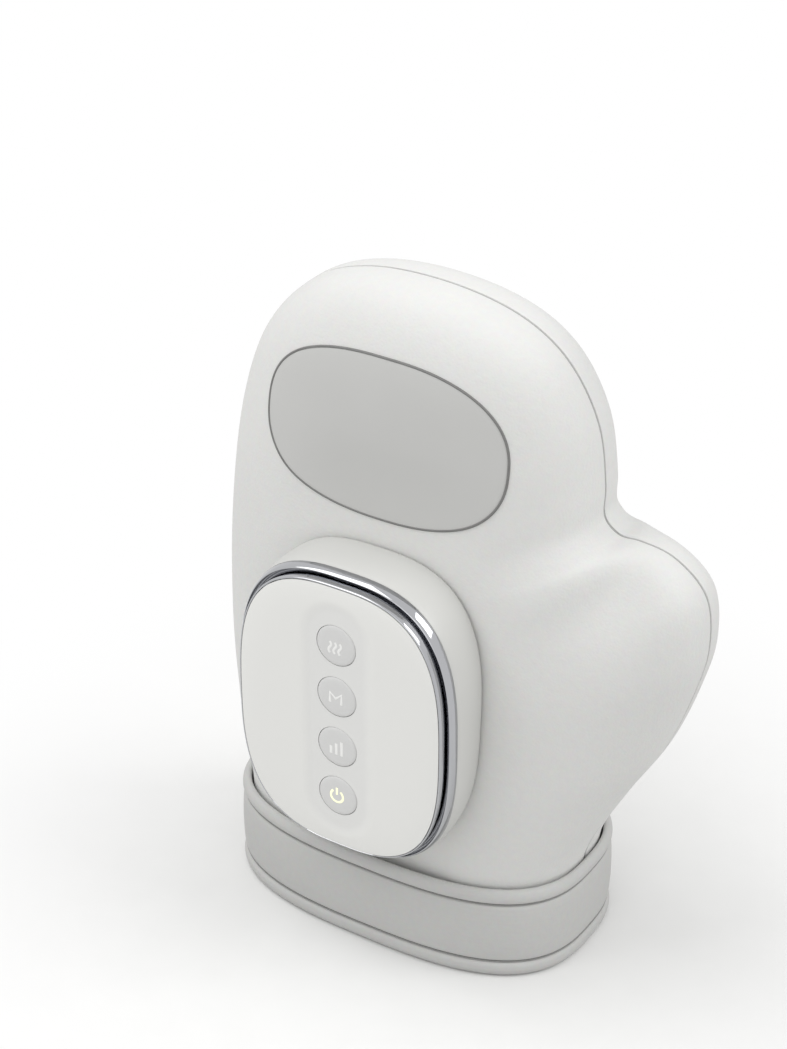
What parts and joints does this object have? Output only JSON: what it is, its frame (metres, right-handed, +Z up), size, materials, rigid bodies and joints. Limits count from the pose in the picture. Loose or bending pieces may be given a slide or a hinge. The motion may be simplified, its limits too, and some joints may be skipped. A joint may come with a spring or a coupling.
{
  "type": "hand massager",
  "caption": "Padded mitten that massages the hand with air pressure and heat, standing on its cuff, with a push-button controller on the front.",
  "frame": {"origin": "middle of the bounding box's bottom face, on the surface that the cuff stands on", "axes": "+Z up from the wrist mouth to the fingertips, +X towards the thumb, and the controller's front faces -Y"},
  "size_m": [0.1792, 0.099, 0.24],
  "materials": {
    "cover_fabric": "matte, finely pebbled",
    "panel_fabric": "matte",
    "cuff_fabric": "matte",
    "lining_fabric": "matte",
    "bag_film": "satin",
    "heater_film": "satin",
    "housing_plastic": "satin",
    "bright_chrome": "mirror",
    "face_plastic": "gloss",
    "button_plastic": "satin",
    "plate_plastic": "matte",
    "board_laminate": "satin",
    "key_rubber": "matte",
    "black_plastic": "satin",
    "plug_plastic": "satin",
    "bright_steel": "bright",
    "cell_wrap": "satin",
    "pump_plastic": "satin",
    "diaphragm_rubber": "matte",
    "tube_silicone": "satin",
    "lead_sleeve": "satin"
  },
  "bodies": {
    "mitten": {"air_manifold": "pump_plastic", "back_air_bag": "bag_film", "back_air_tube": "tube_silicone", "back_cover": "cover_fabric", "back_heat_film": "heater_film", "back_lining": "lining_fabric", "back_release_valve": "black_plastic", "back_valve_tube": "tube_silicone", "battery_cell": "cell_wrap", "battery_holder": "black_plastic", "board_screw_lower_right": "bright_steel", "board_screw_upper_left": "bright_steel", "buzzer": "black_plastic", "charging_port": "bright_steel", "chrome_bezel": "bright_chrome", "controller_base": "housing_plastic", "controller_shell": "housing_plastic", "cuff_band": "cuff_fabric", "cuff_bottom_roll": "cuff_fabric", "cuff_top_roll": "cuff_fabric", "diaphragm": "diaphragm_rubber", "face_plate": "face_plastic", "front_air_bag": "bag_film", "front_air_tube": "tube_silicone", "front_cover": "cover_fabric", "front_heat_film": "heater_film", "front_lining": "lining_fabric", "front_release_valve": "black_plastic", "front_valve_tube": "tube_silicone", "heater_lead": "lead_sleeve", "heater_plug": "plug_plastic", "housing_screw_lower_left": "bright_steel", "housing_screw_lower_right": "bright_steel", "housing_screw_upper_left": "bright_steel", "housing_screw_upper_right": "bright_steel", "key_mat": "key_rubber", "main_board": "board_laminate", "motor_can": "bright_steel", "mounting_plate": "plate_plastic", "mounting_screw_lower_left": "bright_steel", "mounting_screw_lower_right": "bright_steel", "mounting_screw_upper_left": "bright_steel", "mounting_screw_upper_right": "bright_steel", "oval_panel": "panel_fabric", "pump_cap": "pump_plastic", "pump_cradle": "black_plastic", "pump_housing": "pump_plastic", "pump_tube": "tube_silicone", "thermostat": "black_plastic", "valve_plate": "pump_plastic", "wobble_plate": "pump_plastic"},
    "heat_button": {"heat_button": "button_plastic"},
    "mode_button": {"mode_button": "button_plastic"},
    "intensity_button": {"intensity_button": "button_plastic"},
    "power_button": {"power_button": "button_plastic"},
    "pump_rotor": {"motor_shaft": "bright_steel", "eccentric": "pump_plastic"},
    "front_plunger": {"front_valve_plunger": "bright_steel"},
    "back_plunger": {"back_valve_plunger": "bright_steel"}
  },
  "joints": [
    {"name": "heat_button_press", "type": "slide", "parent": "mitten", "child": "heat_button", "axis": [0, 1, 0], "range_m": [0, 0.0006], "stiffness_N_per_m": 900},
    {"name": "mode_button_press", "type": "slide", "parent": "mitten", "child": "mode_button", "axis": [0, 1, 0], "range_m": [0, 0.0006], "stiffness_N_per_m": 900},
    {"name": "intensity_button_press", "type": "slide", "parent": "mitten", "child": "intensity_button", "axis": [0, 1, 0], "range_m": [0, 0.0006], "stiffness_N_per_m": 900},
    {"name": "power_button_press", "type": "slide", "parent": "mitten", "child": "power_button", "axis": [0, 1, 0], "range_m": [0, 0.0006], "stiffness_N_per_m": 900},
    {"name": "pump_spin", "type": "hinge", "parent": "mitten", "child": "pump_rotor", "pos_m": [-0.04195, -0.03669, 0.1023], "axis": [0, 0.0582, 0.9983], "continuous": true},
    {"name": "front_valve_pull", "type": "slide", "parent": "mitten", "child": "front_plunger", "axis": [0, 0.9983, -0.0582], "range_m": [0, 0.0012], "stiffness_N_per_m": 300},
    {"name": "back_valve_pull", "type": "slide", "parent": "mitten", "child": "back_plunger", "axis": [0, 0.9983, -0.0582], "range_m": [0, 0.0012], "stiffness_N_per_m": 300}
  ]
}
